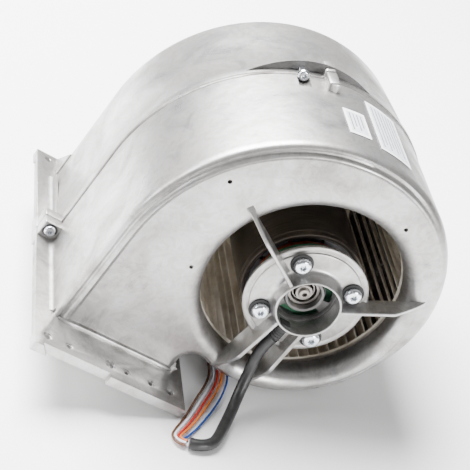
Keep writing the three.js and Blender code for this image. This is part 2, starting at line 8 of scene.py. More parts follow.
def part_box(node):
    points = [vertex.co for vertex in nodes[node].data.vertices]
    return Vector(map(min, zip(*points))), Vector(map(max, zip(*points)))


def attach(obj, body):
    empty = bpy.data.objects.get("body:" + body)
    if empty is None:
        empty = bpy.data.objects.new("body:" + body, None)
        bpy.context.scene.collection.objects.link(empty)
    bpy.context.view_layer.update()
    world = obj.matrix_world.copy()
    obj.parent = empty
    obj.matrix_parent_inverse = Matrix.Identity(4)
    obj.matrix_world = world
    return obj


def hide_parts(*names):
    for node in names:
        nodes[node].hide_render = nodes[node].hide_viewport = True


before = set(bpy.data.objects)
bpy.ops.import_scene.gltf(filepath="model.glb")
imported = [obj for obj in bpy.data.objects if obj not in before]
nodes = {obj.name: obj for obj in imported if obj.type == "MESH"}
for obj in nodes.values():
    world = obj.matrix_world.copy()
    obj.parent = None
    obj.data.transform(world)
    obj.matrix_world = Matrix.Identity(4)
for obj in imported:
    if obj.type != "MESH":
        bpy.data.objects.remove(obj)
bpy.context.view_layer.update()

# ---- where the fan stands ------------------------------------------------------------------
REST_ANGLE = math.radians(20.5)
SIN, COS = math.sin(REST_ANGLE), math.cos(REST_ANGLE)
SHAFT_LOW, SHAFT_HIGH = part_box("shaft")
AXIS_X = (SHAFT_LOW.x + SHAFT_HIGH.x) / 2
AXIS_Z = (SHAFT_LOW.z + SHAFT_HIGH.z) / 2
SHAFT_END = 0.005  # how far the shaft stops short of the inlet face
FACE_Y = SHAFT_LOW.y - SHAFT_END
MM = 0.001
PLACE = Matrix((
    (-SIN * MM, COS * MM, 0, AXIS_X),
    (0, 0, -MM, FACE_Y),
    (-COS * MM, -SIN * MM, 0, AXIS_Z),
    (0, 0, 0, 1),
))


def row(u, v, w):
    return PLACE @ Vector((u, v, w))


# ---- camera --------------------------------------------------------------------------------
def direction(u, v, w):
    return (PLACE.to_3x3() @ Vector((u, v, w))).normalized()


CAMERA_PLACE = (-398.5, -442.0, 741.4)
CAMERA_RIGHT = (-0.578, 0.809, 0.107)
CAMERA_BACK = (-0.417, -0.406, 0.813)
LENS, SENSOR = 108.2, 36


def camera():
    data = bpy.data.cameras.new("camera")
    data.sensor_width = SENSOR
    data.lens = LENS
    data.clip_start = 0.05
    back = direction(*CAMERA_BACK)
    up = back.cross(direction(*CAMERA_RIGHT)).normalized()
    right = up.cross(back).normalized()
    turn = Matrix((right, up, back)).transposed().to_4x4()
    eye = bpy.data.objects.new("camera", data)
    eye.matrix_world = Matrix.Translation(row(*CAMERA_PLACE)) @ turn
    bpy.context.scene.collection.objects.link(eye)
    bpy.context.scene.camera = eye


camera()


# ---- materials -----------------------------------------------------------------------------
class Nodes:
    """A small helper for wiring one material."""

    def __init__(self, name):
        self.material = bpy.data.materials.new(name)
        self.material.use_nodes = True
        self.tree = self.material.node_tree
        self.tree.nodes.clear()
        self.output = self.add("ShaderNodeOutputMaterial")
        self.shader = self.add("ShaderNodeBsdfPrincipled")
        self.link(self.shader, "BSDF", self.output, "Surface")
        self.coordinates = self.add("ShaderNodeTexCoord")

    def add(self, kind):
        return self.tree.nodes.new(kind)

    def link(self, source, out, target, into):
        self.tree.links.new(source.outputs[out], target.inputs[into])

    def set(self, **values):
        for name, value in values.items():
            self.shader.inputs[name.replace("_", " ")].default_value = value

    def noise(self, scale, detail=4, roughness=0.5, distortion=0, stretch=None):
        node = self.add("ShaderNodeTexNoise")
        node.inputs["Scale"].default_value = scale
        node.inputs["Detail"].default_value = detail
        node.inputs["Roughness"].default_value = roughness
        node.inputs["Distortion"].default_value = distortion
        if stretch:
            mapping = self.add("ShaderNodeMapping")
            mapping.inputs["Scale"].default_value = stretch
            self.link(self.coordinates, "Object", mapping, "Vector")
            self.link(mapping, "Vector", node, "Vector")
        else:
            self.link(self.coordinates, "Object", node, "Vector")
        return node

    def ramp(self, source, out, stops):
        node = self.add("ShaderNodeValToRGB")
        elements = node.color_ramp.elements
        for _ in stops[2:]:
            elements.new(0.5)
        for element, (position, color) in zip(elements, stops):
            element.position = position
            element.color = (*color, 1) if len(color) == 3 else color
        self.link(source, out, node, "Fac")
        return node

    def mix(self, first, second, factor, blend="MIX"):
        node = self.add("ShaderNodeMix")
        node.data_type = "RGBA"
        node.blend_type = blend
        for socket, value in ((6, first), (7, second)):
            if isinstance(value, tuple):
                node.inputs[socket].default_value = (*value, 1)
            else:
                self.tree.links.new(value, node.inputs[socket])
        if isinstance(factor, (int, float)):
            node.inputs[0].default_value = factor
        else:
            self.tree.links.new(factor, node.inputs[0])
        return node.outputs[2]

    def bump(self, source, out, strength, distance, before=None):
        node = self.add("ShaderNodeBump")
        node.inputs["Strength"].default_value = strength
        node.inputs["Distance"].default_value = distance
        self.link(source, out, node, "Height")
        if before:
            self.link(before, "Normal", node, "Normal")
        self.link(node, "Normal", self.shader, "Normal")
        return node


def grey(value, warm=0.0):
    return (value * (1 + warm), value, value * (1 - warm))


def cast_aluminium(name, light, warm, rough):
    """As-cast skin: blotches, faint flow swirls, dark specks and a fine grain."""
    m = Nodes(name)
    m.set(Metallic=0.85, Roughness=rough)
    patches = m.noise(26, 5, 0.6, 0.8)
    swirls = m.noise(60, 3, 0.5, 3.2)
    specks = m.noise(900, 2, 0.6)
    tone = m.ramp(patches, "Fac", [
        (0.3, grey(light * 0.66, warm)), (0.5, grey(light, warm * 0.5)), (0.72, grey(light * 1.18, 0)),
    ])
    flow = m.ramp(swirls, "Fac", [(0.42, grey(0.8, 0.012)), (0.52, grey(1)), (0.62, grey(0.88))])
    dots = m.ramp(specks, "Fac", [(0.24, grey(0.7)), (0.34, grey(1))])
    color = m.mix(tone.outputs["Color"], flow.outputs["Color"], 0.7, "MULTIPLY")
    color = m.mix(color, dots.outputs["Color"], 0.8, "MULTIPLY")
    blots = m.noise(17, 7, 0.72, 1.2)
    stains = m.ramp(blots, "Fac", [(0.58, grey(1)), (0.63, grey(0.86)), (0.7, grey(0.6))])
    color = m.mix(color, stains.outputs["Color"], 0.9, "MULTIPLY")
    m.tree.links.new(color, m.shader.inputs["Base Color"])
    spread = m.ramp(patches, "Fac", [(0.3, grey(rough + 0.12)), (0.7, grey(rough - 0.08))])
    m.link(spread, "Color", m.shader, "Roughness")
    grain = m.noise(1500, 3, 0.6)
    waves = m.noise(120, 3, 0.5)
    first = m.bump(waves, "Fac", 0.25, 0.0006)
    m.bump(grain, "Fac", 0.22, 0.00015, first)
    return m.material


def bright_zinc():
    m = Nodes("bright_zinc")
    m.set(Metallic=1, Base_Color=(0.82, 0.85, 0.9, 1), Roughness=0.16)
    scratches = m.noise(700, 3, 0.6)
    spread = m.ramp(scratches, "Fac", [(0.35, grey(0.1)), (0.65, grey(0.3))])
    m.link(spread, "Color", m.shader, "Roughness")
    m.bump(scratches, "Fac", 0.12, 0.0001)
    return m.material


def turned_steel(name, color, rough):
    """Drawn or ground steel with fine rings about the fan axis."""
    m = Nodes(name)
    m.set(Metallic=0.95, Roughness=rough)
    streaks = m.noise(40, 4, 0.6, 0, (1, 40, 1))
    clouds = m.noise(30, 3, 0.5)
    dark = tuple(c * 0.7 for c in color)
    light = tuple(min(1, c * 1.25) for c in color)
    tone = m.ramp(streaks, "Fac", [(0.3, dark), (0.7, light)])
    cloud = m.ramp(clouds, "Fac", [(0.3, grey(0.78)), (0.7, grey(1.08))])
    mixed = m.mix(tone.outputs["Color"], cloud.outputs["Color"], 0.7, "MULTIPLY")
    m.tree.links.new(mixed, m.shader.inputs["Base Color"])
    m.bump(streaks, "Fac", 0.08, 0.0001)
    return m.material


def wheel_steel():
    """Warm galvanised strip, cloudy, a little dusty."""
    m = Nodes("wheel_strip")
    m.set(Metallic=0.1, Roughness=0.45)
    clouds = m.noise(45, 4, 0.6)
    along = m.noise(30, 3, 0.5, 0, (6, 0.6, 6))
    tone = m.ramp(clouds, "Fac", [
        (0.3, (0.62, 0.56, 0.46)), (0.55, (0.82, 0.76, 0.66)), (0.75, (0.9, 0.86, 0.78)),
    ])
    bands = m.ramp(along, "Fac", [(0.35, grey(0.86)), (0.6, grey(1.06))])
    mixed = m.mix(tone.outputs["Color"], bands.outputs["Color"], 0.8, "MULTIPLY")
    m.tree.links.new(mixed, m.shader.inputs["Base Color"])
    m.bump(clouds, "Fac", 0.06, 0.0002)
    return m.material


def moulded(name, color, rough=0.55, grain=0.12, scale=900):
    m = Nodes(name)
    m.set(Roughness=rough, Specular_IOR_Level=0.4)
    mottle = m.noise(scale, 3, 0.6)
    dark = tuple(c * 0.88 for c in color)
    light = tuple(min(1, c * 1.1) for c in color)
    tone = m.ramp(mottle, "Fac", [(0.3, dark), (0.7, light)])
    m.link(tone, "Color", m.shader, "Base Color")
    m.bump(mottle, "Fac", grain, 0.0002)
    return m.material


def sleeve_plastic():
    """Soft black sleeving with slight creases."""
    m = Nodes("black_sleeve")
    m.set(Roughness=0.42, Specular_IOR_Level=0.5)
    creases = m.noise(160, 3, 0.6, 0.4)
    tone = m.ramp(creases, "Fac", [(0.3, grey(0.009)), (0.7, grey(0.022))])
    m.link(tone, "Color", m.shader, "Base Color")
    m.bump(creases, "Fac", 0.5, 0.0008)
    return m.material


def label_film():
    """Blank glossy film."""
    m = Nodes("label_film")
    m.set(Roughness=0.38, Specular_IOR_Level=0.45)
    clouds = m.noise(60, 3, 0.5)
    tone = m.ramp(clouds, "Fac", [(0.3, (0.86, 0.87, 0.9)), (0.7, (0.95, 0.96, 0.98))])
    m.link(tone, "Color", m.shader, "Base Color")
    m.bump(clouds, "Fac", 0.05, 0.0003)
    return m.material


CAST_SKIN = cast_aluminium("cast_aluminium", 0.46, 0.04, 0.34)
# Darker copy of the cast skin: painted shade, for the plate in the long ear's hollow.
CAST_HOLLOW_SHADE = cast_aluminium("cast_hollow_painted_shade", 0.16, 0.03, 0.6)
# Darker copy of the cast skin: painted shade, for the motor plate deep inside the eye.
CAST_INSIDE_SHADE = cast_aluminium("cast_inside_painted_shade", 0.2, 0.04, 0.5)
ZINC = bright_zinc()
ROTOR_STEEL = turned_steel("rotor_steel", (0.13, 0.11, 0.095), 0.34)
# Steel grey darkened with painted shade, for the dim inside of the motor collar.
STEEL_SHADE_DARKENED = turned_steel("steel_painted_shade", (0.3, 0.28, 0.26), 0.34)
WHEEL = wheel_steel()
RUBBER = moulded("grommet_rubber", (0.03, 0.03, 0.03), 0.7)
BOARD = moulded("circuit_board", (0.03, 0.12, 0.06), 0.45)
COPPER = moulded("winding_enamel", (0.32, 0.045, 0.02), 0.35, 0.4, 300)
CORE = turned_steel("core_steel", (0.25, 0.25, 0.26), 0.5)
PALE_PLASTIC = moulded("pale_plastic", (0.78, 0.76, 0.7), 0.5)
BLACK_PLASTIC = moulded("black_plastic", (0.02, 0.02, 0.022), 0.45)
SLEEVE = sleeve_plastic()
LABEL = label_film()
LABEL_FIELD = moulded("label_field", (0.62, 0.65, 0.68), 0.4, 0.05, 300)
LABEL_MARK = moulded("label_mark", (0.2, 0.2, 0.22), 0.5, 0.05, 300)
MAGNET = moulded("ferrite", (0.05, 0.045, 0.04), 0.6)
WIRE_LOOKS = [
    moulded("wire_brown", (0.12, 0.05, 0.025), 0.35),
    moulded("wire_white", (0.78, 0.82, 0.9), 0.35),
    moulded("wire_red", (0.55, 0.03, 0.02), 0.35),
    moulded("wire_orange", (0.75, 0.2, 0.03), 0.35),
    moulded("wire_blue", (0.02, 0.07, 0.32), 0.35),
]


# ---- building blocks -----------------------------------------------------------------------
def polar(degrees, radius):
    angle = math.radians(degrees)
    return (-math.sin(angle) * radius, -math.cos(angle) * radius)


def around(count, start, radius):
    return [polar(start + i * 360 / count, radius) for i in range(count)]


def mesh_object(name, points, faces):
    mesh = bpy.data.meshes.new(name)
    mesh.from_pydata([tuple(p) for p in points], [], faces)
    mesh.validate()
    obj = bpy.data.objects.new(name, mesh)
    bpy.context.scene.collection.objects.link(obj)
    tidy = bmesh.new()
    tidy.from_mesh(mesh)
    bmesh.ops.remove_doubles(tidy, verts=tidy.verts, dist=1e-5)
    bmesh.ops.recalc_face_normals(tidy, faces=tidy.faces)
    tidy.to_mesh(mesh)
    tidy.free()
    return obj


def grid(loops, closed=True, cap_first=False, cap_last=False):
    """Faces between successive loops of the same number of points."""
    count = len(loops[0])
    points = [p for loop in loops for p in loop]
    faces = []
    for k in range(len(loops) - 1):
        for i in range(count if closed else count - 1):
            j = (i + 1) % count
            faces.append((k * count + i, k * count + j, (k + 1) * count + j, (k + 1) * count + i))
    if cap_first:
        faces.append(tuple(reversed(range(count))))
    if cap_last:
        faces.append(tuple(range((len(loops) - 1) * count, len(loops) * count)))
    return points, faces


def loft(name, levels):
    """A closed solid through outlines [(points, w), ...]."""
    loops = [[(u, v, w) for u, v in points] for points, w in levels]
    return mesh_object(name, *grid(loops, True, True, True))


def prism(name, points, w0, w1):
    return loft(name, [(points, w0), (points, w1)])


def block(name, u0, u1, v0, v1, w0, w1):
    return prism(name, [(u0, v0), (u1, v0), (u1, v1), (u0, v1)], w0, w1)


def turned(name, profile, segments=96, centre=(0, 0)):
    """A closed profile of (radius, w) points turned about an axis along w."""
    loops = []
    for i in range(segments):
        angle = 2 * math.pi * i / segments
        loops.append([
            (centre[0] + r * math.cos(angle), centre[1] + r * math.sin(angle), w) for r, w in profile
        ])
    loops.append(loops[0])
    return mesh_object(name, *grid(loops, True))


def rod(name, radius, w0, w1, at=(0, 0), segments=32):
    points = [
        (at[0] + radius * math.cos(2 * math.pi * i / segments),
         at[1] + radius * math.sin(2 * math.pi * i / segments)) for i in range(segments)
    ]
    return prism(name, points, w0, w1)


def applied(obj):
    """The object's mesh with its modifiers made permanent."""
    bpy.context.view_layer.update()
    shown = obj.evaluated_get(bpy.context.evaluated_depsgraph_get())
    mesh = bpy.data.meshes.new_from_object(shown)
    obj.modifiers.clear()
    obj.data = mesh
    return obj


def boolean(target, cutters, operation="DIFFERENCE"):
    for cutter in cutters:
        modifier = target.modifiers.new("cut", "BOOLEAN")
        modifier.operation = operation
        modifier.solver = "EXACT"
        modifier.object = cutter
        applied(target)
        bpy.data.objects.remove(cutter)
    return target


def bevelled(obj, width, segments=3, angle=35):
    modifier = obj.modifiers.new("bevel", "BEVEL")
    modifier.width = width
    modifier.segments = segments
    modifier.limit_method = "ANGLE"
    modifier.angle_limit = math.radians(angle)
    return applied(obj)


def joined(objects, name):
    first = objects[0]
    for other in objects[1:]:
        merged = bmesh.new()
        merged.from_mesh(first.data)
        merged.from_mesh(other.data)
        merged.to_mesh(first.data)
        merged.free()
        bpy.data.objects.remove(other)
    first.name = name
    return first


def finish(obj, material, body, replaces=(), smooth=32, local=True):
    """Into the row frame, shaded, with its material, and riding on its body."""
    if local:
        obj.data.transform(PLACE)
    for polygon in obj.data.polygons:
        polygon.use_smooth = True
    obj.data.set_sharp_from_angle(angle=math.radians(smooth))
    if material:
        obj.data.materials.clear()
        obj.data.materials.append(material)
    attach(obj, body)
    if replaces:
        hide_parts(*replaces)
    return obj


# ---- the scroll ----------------------------------------------------------------------------
SCROLL_MIN, SCROLL_GROWTH, SCROLL_TURN, SCROLL_POWER = 87, 48.6, 200, 1.2
WALL_START, TONGUE_END = -7, 289
TONGUE_CENTRE, TONGUE_RADIUS = (90.5, -31.5), 9
SEAM, REAR = -96, -185
GAP = 0.4  # each half stops this far from the seam
FLANGE_U, FLANGE_THICK = 98.6, 7
FLANGE_V = (-150.3, -34)
FLANGE_W = (-202, 31)
STATIONS = 160


def scroll_radius(degrees):
    return SCROLL_MIN + SCROLL_GROWTH * max(0, 1 - degrees / SCROLL_TURN) ** SCROLL_POWER


def station_list():
    """Where the wall's points are: along the straight wall, round the spiral, round the tongue."""
    stations = [("wall", i / 14) for i in range(14)]
    turn = TONGUE_END - WALL_START
    stations += [("spiral", WALL_START + turn * i / STATIONS) for i in range(STATIONS + 1)]
    stations += [("tongue", 180 + 90 * i / 10) for i in range(1, 11)]
    stations += [("mouth", i / 3) for i in range(1, 4)]
    return stations


def wall_point(kind, t, inset, end):
    start = polar(WALL_START, scroll_radius(WALL_START) - inset)
    if kind == "wall":
        return (end + (start[0] - end) * t, start[1])
    if kind == "spiral":
        return polar(t, scroll_radius(t) - inset)
    radius = TONGUE_RADIUS + inset
    if kind == "tongue":
        angle = math.radians(t)
        return (TONGUE_CENTRE[0] + radius * math.cos(angle), TONGUE_CENTRE[1] + radius * math.sin(angle))
    return (TONGUE_CENTRE[0] + (end - TONGUE_CENTRE[0]) * t, TONGUE_CENTRE[1] - radius)


def outline(inset, end=FLANGE_U + 1):
    return [wall_point(kind, t, inset, end) for kind, t in station_list()]


def smooth_step(low, high, value):
    t = min(1, max(0, (value - low) / (high - low)))
    return t * t * (3 - 2 * t)


def softness(kind, t):
    """0 where the face edge has its bead and groove, 1 where it is one wide soft radius."""
    if kind == "wall":
        return 0
    if kind == "spiral":
        return smooth_step(70, 130, t)
    return 1


# inset and w of the face edge: a tight edge, a groove and a bead, or one soft radius
BEADED = [(0, -9), (0.1, -6.2), (0.6, -4.2), (1.6, -2.7), (2.8, -2.1), (3.8, -2.6), (4.8, -3.1),
          (5.8, -2.6), (6.7, -1.2), (7.5, -0.4), (8.4, -0.1), (9.3, -0.5), (10.2, -1.3), (11.4, -1.8)]
SOFT = [(0, -12), (0.25, -9.6), (0.9, -7.2), (1.9, -5.2), (2.9, -4), (3.7, -3.3), (4.5, -2.7),
        (5.2, -2.3), (5.8, -2.05), (6.3, -1.9), (6.8, -1.85), (7.2, -1.8), (7.5, -1.8), (7.8, -1.8)]


def face_edge_levels():
    loops = []
    for (inset_a, w_a), (inset_b, w_b) in zip(BEADED, SOFT):
        loop = []
        for kind, t in station_list():
            soft = softness(kind, t)
            inset = inset_a + (inset_b - inset_a) * soft
            w = w_a + (w_b - w_a) * soft
            u, v = wall_point(kind, t, inset, FLANGE_U + 1)
            loop.append((u, v, w))
        loops.append(loop)
    return loops


def level(inset, w, end=FLANGE_U + 1):
    return [(u, v, w) for u, v in outline(inset, end)]


FACE_W = -1.8  # the flat inlet face, behind its bead
FIN_TOP, FIN_DROP = 11.2, 24
LEAD_V, LEAD_W = -3.4, 6.4
SCREW_CIRCLE, SCREW_START = 31.5, 47.9


def radial_block(degrees, half, r0, r1):
    du, dv = polar(degrees, 1)
    corners = ((r0, -1), (r1, -1), (r1, 1), (r0, 1))
    return [(du * r - dv * s * half, dv * r + du * s * half) for r, s in corners]


def ear(start, stop, height, root=3, steps=28):
    """A crescent that swells out of the scroll's wall."""
    outer, inner = [], []
    for i in range(steps + 1):
        a = start + (stop - start) * i / steps
        swell = height * max(0, math.sin(math.pi * i / steps)) ** 1.1
        outer.append(polar(a, scroll_radius(a) + swell - 0.4))
        inner.append(polar(a, scroll_radius(a) - root))
    return outer + inner[::-1]


def hole_through_flange(v, w, radius, u0, u1):
    hole = rod("hole", radius, u0, u1, segments=24)
    hole.data.transform(Matrix.Translation((0, v, w)) @ Matrix.Rotation(math.pi / 2, 4, "Y"))
    return hole


FRONT_HOLES_W, REAR_HOLES_W = 22.5, -194
FLANGE_HOLES = ((-141, 2), (-124.6, 1.7), (-93, 2.8), (-80, 1.7), (-61, 1.7), (-45, 1.7))


def flange_front():
    """Front half of the outlet flange: stepped rim, foot at the corner, holes along the rim."""
    u0, u1 = FLANGE_U, FLANGE_U + FLANGE_THICK
    plate = block("flange", u0, u1, *FLANGE_V, SEAM + GAP, FLANGE_W[1])
    step = block("step", u0, u1, -93, FLANGE_V[1], FLANGE_W[1] - 4, FLANGE_W[1] + 4)
    foot = prism("foot", [(u0, -150.3), (u1, -150.3), (u1, -138), (u0, -144)], 24, FLANGE_W[1] + 3)
    mouth = block("mouth", u0 - 5, u1 + 5, -133.6, -43.5, SEAM - 5, -4.8)
    holes = [hole_through_flange(v, FRONT_HOLES_W, r, u0 - 3, u1 + 3) for v, r in FLANGE_HOLES]
    sinks = [hole_through_flange(v, FRONT_HOLES_W, r + 1.3, u0 - 3, u0 + 0.8) for v, r in FLANGE_HOLES]
    edge = FLANGE_V[0]
    strip = block("strip", u0 + 2.2, u1 + 2, edge - 2, edge + 1.2, SEAM + 14, FLANGE_W[1] - 8)
    boolean(plate, [step, foot], "UNION")
    boolean(plate, [mouth, strip, *holes, *sinks])
    return bevelled(plate, 1.0, 3)


def flange_rear():
    u0, u1 = FLANGE_U, FLANGE_U + FLANGE_THICK
    plate = block("flange", u0, u1, *FLANGE_V, FLANGE_W[0], SEAM - GAP)
    mouth = block("mouth", u0 - 5, u1 + 5, -130, -47, REAR + 3, SEAM + 5)
    holes = [hole_through_flange(v, REAR_HOLES_W, 2.4, u0 - 3, u1 + 3) for v in (-141, -93, -42)]
    edge = FLANGE_V[0]
    strip = block("strip", u0 + 2.2, u1 + 2, edge - 2, edge + 1.2, -190, SEAM - 14)
    boolean(plate, [mouth, strip, *holes])
    return bevelled(plate, 1.0, 3)


def bead_along(points, radius):
    """A rounded bead that follows a line of (u, v, w) points."""
    loops = []
    for i, point in enumerate(points):
        before = Vector(points[max(0, i - 1)])
        after = Vector(points[min(len(points) - 1, i + 1)])
        along = (after - before).normalized()
        side = along.cross(Vector((0.3, 0.5, 1))).normalized()
        other = along.cross(side)
        share = math.sin(math.pi * min(1, (i + 0.35) / 3, (len(points) - 0.65 - i) / 3) / 2)
        loops.append([
            Vector(point) + radius * share * (math.cos(t) * side + math.sin(t) * other)
            for t in (2 * math.pi * k / 12 for k in range(12))
        ])
    return mesh_object("bead", *grid(loops, True, True, True))


def wall_flange_fillets():
    """Concave fillets where the duct walls run into the flange's inner face."""
    parts = []
    for v, run in ((polar(WALL_START, scroll_radius(WALL_START))[1], -1), (-40.5, 1)):
        points = [(FLANGE_U + 1, v - run * 1.5), (FLANGE_U - 4.5, v - run * 1.5), (FLANGE_U - 4.5, v)]
        for i in range(1, 8):
            angle = math.pi / 2 * i / 8
            u = FLANGE_U - 4.5 + 4.5 * math.sin(angle)
            points.append((u, v + run * 4.5 * (1 - math.cos(angle))))
        points.append((FLANGE_U + 1, v + run * 4.5))
        parts.append(prism("fillet", points, -170, -6))
    corner = polar(WALL_START, scroll_radius(WALL_START))[1]
    points = [(FLANGE_U - 0.6, corner + 3 + (-43 - corner - 3) * i / 24, -1.2) for i in range(25)]
    parts.append(bead_along(points, 2.6))
    return parts


def front_shell():
    levels = [level(1.3, SEAM + GAP), level(0.9, SEAM + 1), level(0, SEAM + 1.8)] + face_edge_levels()
    outer = mesh_object("shell", *grid(levels, True, True, True))
    cavity = loft("cavity", [
        (outline(3.2, FLANGE_U + 9), SEAM - 2), (outline(3.2, FLANGE_U + 9), -12),
        (outline(7, FLANGE_U + 9), -5),
    ])
    eye = rod("eye", 80, -30, 10, segments=144)
    spots = ((26.7, 109), (106.6, 82.6), (227.3, 82.4), (347.1, 82.6))
    holes = [rod("hole", 1.6, -9, 4, polar(a, r), 20) for a, r in spots]
    pocket = rod("scoop", 4.8, -92.5, -79, polar(58.6, 120.8), 32)
    return boolean(outer, [cavity, eye, *holes, pocket])


def eye_lip():
    profile = [(81.6, FACE_W - 1.4), (81.4, FACE_W - 0.02), (80.6, FACE_W - 0.15)]
    for i in range(1, 15):
        angle = math.pi / 2 * i / 14
        profile.append((80.6 - 10.6 * math.sin(angle), FACE_W - 11 + 10.85 * math.cos(angle)))
    profile += [(70, -18.6), (70.4, -19), (71.6, -19), (72, -12), (76, -6.5), (81.6, -5)]
    return turned("lip", profile, 180)


def lip_level(radius):
    if radius > 80.6:
        return FACE_W
    return FACE_W - 11 + 10.85 * math.cos(math.asin(min(1, (80.6 - radius) / 10.6)))


def fin(start, end, back):
    """An upright fin with draft, flaring out into the disc and into the lip."""
    length = math.hypot(end[0] - start[0], end[1] - start[1])
    du, dv = (end[0] - start[0]) / length, (end[1] - start[1]) / length
    loops = []
    for i in range(45):
        s = length * i / 44
        radius = math.hypot(start[0] + du * s, start[1] + dv * s)
        drop = max(0, (s - length + FIN_DROP) / FIN_DROP)
        top = FIN_TOP - (FIN_TOP - FACE_W - 0.2) * drop ** 1.15
        on_lip = smooth_step(69, 74, radius)
        on_disc = 1 - smooth_step(40, 44, radius)
        base = -2.9 + (back + 2.9) * (1 - on_disc) * (1 - smooth_step(72, 78, radius))
        ground = lip_level(radius) if on_lip else 1.9
        flare = 1.3 * on_lip * smooth_step(70, 84, radius) + 1.2 * on_disc
        section = []
        for k in range(9):
            w = base + (top - base) * (k / 8) ** 0.8
            half = 1.25 + 0.03 * (top - w) + flare * math.exp(-max(0, w - ground) / 2)
            section.append((half if k < 8 else half - 0.45, w))
        section.insert(8, (section[7][0], top - 0.45))
        sides = section + [(-n, w) for n, w in section[::-1]]
        u, v = start[0] + du * s, start[1] + dv * s
        loops.append([(u - dv * n, v + du * n, w) for n, w in sides])
    return mesh_object("fin", *grid(loops, True, True, True))


FINS = [
    ((-9, -20.2), (-40.1, -75.4), -3),
    ((-7.8, 20.6), (-37.5, 74.9), -3),
    ((20, -10.7), (80.7, -19.1), -8),
    ((20.4, 9.7), (80, 9.7), -8),
]


def hub_disc():
    profile = [
        (21.2, -3), (42.4, -3), (43, -2.4), (43, -0.4), (42.2, 0.1), (40.6, 0.2), (39.4, -0.2),
        (38.8, -0.1), (38.3, 1), (37.2, 1.5), (28, 1.5), (26.2, 1.9), (24.6, 3), (23.7, 4.8),
        (23, 7.6), (22.7, 11.5), (22.2, 12), (21.4, 11.95), (21, 11.4), (21, 0),
    ]
    disc = turned("disc", profile, 144)
    holes = [rod("hole", 5.6, -9, 9, at) for at in around(4, SCREW_START, SCREW_CIRCLE)]
    lead_hole = block("lead_hole", 16, 27, LEAD_V - 4.8, LEAD_V + 4.8, 1.9, 10.3)
    boolean(disc, holes + [lead_hole])
    return bevelled(disc, 0.3, 2, 50)


def seam_bridge(w0, w1):
    return prism("bridge", radial_block(68, 4.2, 108, scroll_radius(68) + 6.5), w0, w1)


def long_ear_front():
    """The block that bridges the seam beside the screw pocket."""
    return [bevelled(seam_bridge(SEAM + GAP, SEAM + 17), 1.8, 4)]


def side_ears(w0, w1):
    return [
        bevelled(prism("ear", radial_block(185, 7, 84.5, 101.3), w0, w1), 0.9, 3),
        bevelled(prism("ear", radial_block(288, 6, 84.5, 98.8), w0, w1), 0.9, 3),
    ]


def housing_front():
    parts = [front_shell(), flange_front(), eye_lip(), hub_disc(), *wall_flange_fillets()]
    parts += [fin(*place) for place in FINS]
    lug = block("lug", 86, FLANGE_U + 0.5, -150, -136, SEAM + GAP, -87)
    parts.append(bevelled(boolean(lug, [rod("recess", 5.2, -88.6, -80, (92, -143.4))]), 0.9, 3))
    parts += long_ear_front() + side_ears(SEAM + GAP, -89)
    finish(joined(parts, "front_casting"), CAST_SKIN, "housing", ["housing_front"], 30)


def rim_lift(degrees):
    """The rear rim stands a little proud, except towards the underside."""
    return 1 - smooth_step(112, 140, degrees)


def rear_loop(inset, w, lift):
    loop = []
    for kind, t in station_list():
        rise = {"spiral": rim_lift(t) if kind == "spiral" else 0, "wall": 1}.get(kind, 0)
        u, v = wall_point(kind, t, inset - lift * rise, FLANGE_U + 1)
        loop.append((u, v, w))
    return loop


# inset, w and how much of the proud rim, from the rear face to the seam
REAR_LEVELS = [
    (10, REAR, 0), (7.6, REAR + 0.4, 0), (5.8, REAR + 1.6, 0), (4.6, REAR + 3.6, 0), (3.9, REAR + 7, 0),
    (1.8, REAR + 42, 0), (0.2, SEAM - 9, 0), (0, SEAM - 7.6, 0.5), (0, SEAM - 6.6, 0.9),
    (0, SEAM - 1, 0.9), (0.5, SEAM - GAP, 0.9),
]


def rear_shell():
    outer = mesh_object("shell", *grid([rear_loop(*place) for place in REAR_LEVELS], True, True, True))
    past = FLANGE_U + 9
    cavity = loft("cavity", [(outline(9, past), REAR + 3), (outline(3.6, past), SEAM + 2)])
    return boolean(outer, [cavity])


def gusset(v):
    """A triangular rib between the rear half's wall and its flange."""
    corners = [(78, REAR + 5), (FLANGE_U + 0.5, REAR + 5), (FLANGE_U + 0.5, FLANGE_W[0] + 1)]
    loops = [[(u, v + side, w) for u, w in corners] for side in (-1.6, 1.6)]
    return bevelled(mesh_object("gusset", *grid(loops, True, True, True)), 0.7)


# start, stop and height of the hollows in the long ear's front side, beside the bridge block
EAR_POCKETS = ((37.5, 88, 9),)


def ear_hollow_painted_shade():
    """A dark plate at the bottom of the long ear's hollow: painted shade, standing in for the shadow in
    the hollow.
    """
    plate = prism("plate", ear(38, 87.5, 8.8, root=0.2), -101, -100.2)
    finish(plate, CAST_HOLLOW_SHADE, "housing")


def housing_rear():
    parts = [rear_shell(), flange_rear(), gusset(-132), gusset(-52)]
    lug = block("lug", 86, FLANGE_U + 0.5, -150, -136, -105, SEAM - GAP)
    ear_lip = prism("ear", ear(36, 92, 11), -103, SEAM - GAP)
    pockets = [prism("pocket", ear(*span, root=0.3), -101, SEAM + 2) for span in EAR_POCKETS]
    boolean(ear_lip, pockets)
    parts.append(bevelled(lug, 0.9, 3))
    parts.append(bevelled(ear_lip, 0.5, 3))
    parts.append(bevelled(seam_bridge(SEAM - 16, SEAM - GAP), 1.8, 4))
    parts += side_ears(-104, SEAM - GAP)
    finish(joined(parts, "rear_casting"), CAST_SKIN, "housing", ["housing_rear"], 30)


# ---- screws and grommets -------------------------------------------------------------------
def star_recess(at, radius, w0, w1):
    points = []
    for i in range(36):
        angle = math.pi * i / 18
        reach = radius * (0.86 + 0.14 * math.cos(6 * angle))
        points.append((at[0] + reach * math.cos(angle), at[1] + reach * math.sin(angle)))
    return prism("star", points, w0, w1)


